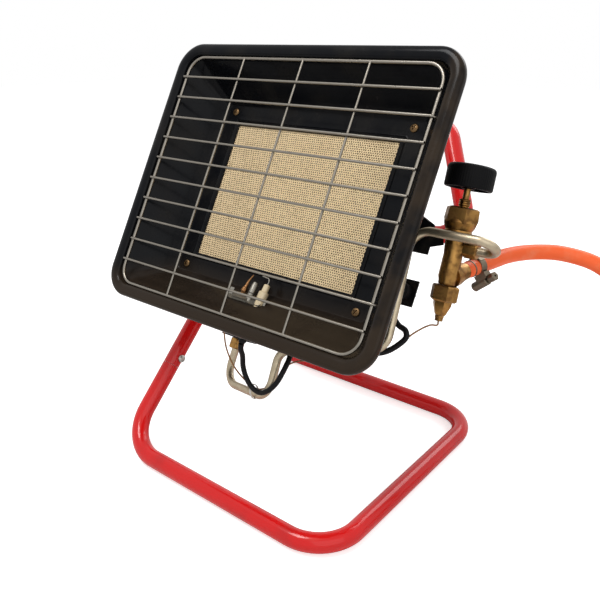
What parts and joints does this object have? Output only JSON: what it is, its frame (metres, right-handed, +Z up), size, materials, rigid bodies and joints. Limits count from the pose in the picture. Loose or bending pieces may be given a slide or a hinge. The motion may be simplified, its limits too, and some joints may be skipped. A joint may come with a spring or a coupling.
{
  "type": "portable radiant gas heater",
  "caption": "Tilting radiant gas heater: ceramic burner in an enamelled reflector with wire guard, gas valve and hose, clipped to a bent-tube floor stand with handle.",
  "frame": {"origin": "On the floor, under the middle of the stand's front bar.", "axes": "+Z is up, the heater faces -Y, and +X is to the right seen from the front, the valve's side."},
  "size_m": [0.6565, 0.419, 0.4296],
  "materials": {
    "red_paint": "glossy red stove enamel",
    "black_enamel": "glossy black vitreous enamel",
    "black_paint": "semi-gloss black paint",
    "guard_wire": "bright plated wire",
    "zinc_steel": "zinc plated steel",
    "brass": "aged unpolished brass",
    "aluminium_pipe": "drawn soft aluminium tube",
    "copper": "bare copper",
    "plaque_ceramic": "matt cordierite with fine holes",
    "glazed_ceramic": "cream glaze",
    "fibre_gasket": "pressed ceramic fibre",
    "black_plastic": "moulded black plastic",
    "black_rubber": "smooth black rubber",
    "white_plastic": "white nylon",
    "hose_rubber": "orange-red gas hose, satin"
  },
  "bodies": {
    "stand": {"base_tube": "red_paint", "upper_tube": "red_paint", "leg_screw": "zinc_steel", "tube_end_cap": "black_plastic", "gas_hose": "hose_rubber", "hose_coil": "hose_rubber", "hose_ferrule": "zinc_steel", "hose_union": "brass"},
    "head": {"burner_housing": "zinc_steel", "cable_tie": "white_plastic", "ceramic_plaque": "plaque_ceramic", "electrode_boot": "black_rubber", "gas_baffle": "zinc_steel", "gas_hose_end": "hose_rubber", "gas_injector": "brass", "gas_pipe": "aluminium_pipe", "gland_nut": "brass", "hose_clamp": "zinc_steel", "hose_clamp_screw": "zinc_steel", "igniter_body": "black_plastic", "igniter_bracket": "zinc_steel", "igniter_nut": "black_plastic", "ignition_lead": "black_rubber", "injector_holder": "black_paint", "magnet_housing": "brass", "mixing_tube": "zinc_steel", "outlet_nut": "brass", "pilot_bracket": "zinc_steel", "pipe_nut": "brass", "pivot_bracket": "black_paint", "pivot_strap_left": "zinc_steel", "pivot_strap_right": "zinc_steel", "plaque_gasket": "fibre_gasket", "plate_screw_1": "brass", "plate_screw_2": "brass", "plate_screw_3": "brass", "plate_screw_4": "brass", "reflector_pan": "black_enamel", "safety_guard": "guard_wire", "spark_electrode": "glazed_ceramic", "spark_pin": "zinc_steel", "strap_bolt_left": "zinc_steel", "strap_bolt_right": "zinc_steel", "strap_nut_left": "zinc_steel", "strap_nut_right": "zinc_steel", "thermocouple_lead": "copper", "thermocouple_nut": "brass", "thermocouple_probe": "copper", "valve_body": "brass", "valve_bonnet": "brass", "valve_bracket": "black_paint"},
    "valve_push": {"push_pin": "zinc_steel"},
    "valve_turn": {"valve_knob": "black_plastic", "valve_stem": "zinc_steel"},
    "igniter_push": {"igniter_button": "black_plastic"}
  },
  "joints": [
    {"name": "head_tilt", "type": "hinge", "parent": "stand", "child": "head", "pos_m": [0, 0.23311, 0.24589], "axis": [1, 0, 0], "range_deg": [-35, 15], "deforming": ["gas_hose"]},
    {"name": "knob_press", "type": "slide", "parent": "head", "child": "valve_push", "axis": [0, -0.3024, -0.9532], "range_m": [0, 0.004], "stiffness_N_per_m": 1500, "springref_m": -0.002},
    {"name": "knob_turn", "type": "hinge", "parent": "valve_push", "child": "valve_turn", "pos_m": [0.1685, 0.15176, 0.29616], "axis": [0, 0.3024, 0.9532], "range_deg": [0, 270]},
    {"name": "igniter_press", "type": "slide", "parent": "head", "child": "igniter_push", "axis": [0, -0.8729, 0.4879], "range_m": [0, 0.006], "stiffness_N_per_m": 1500, "springref_m": -0.002}
  ]
}
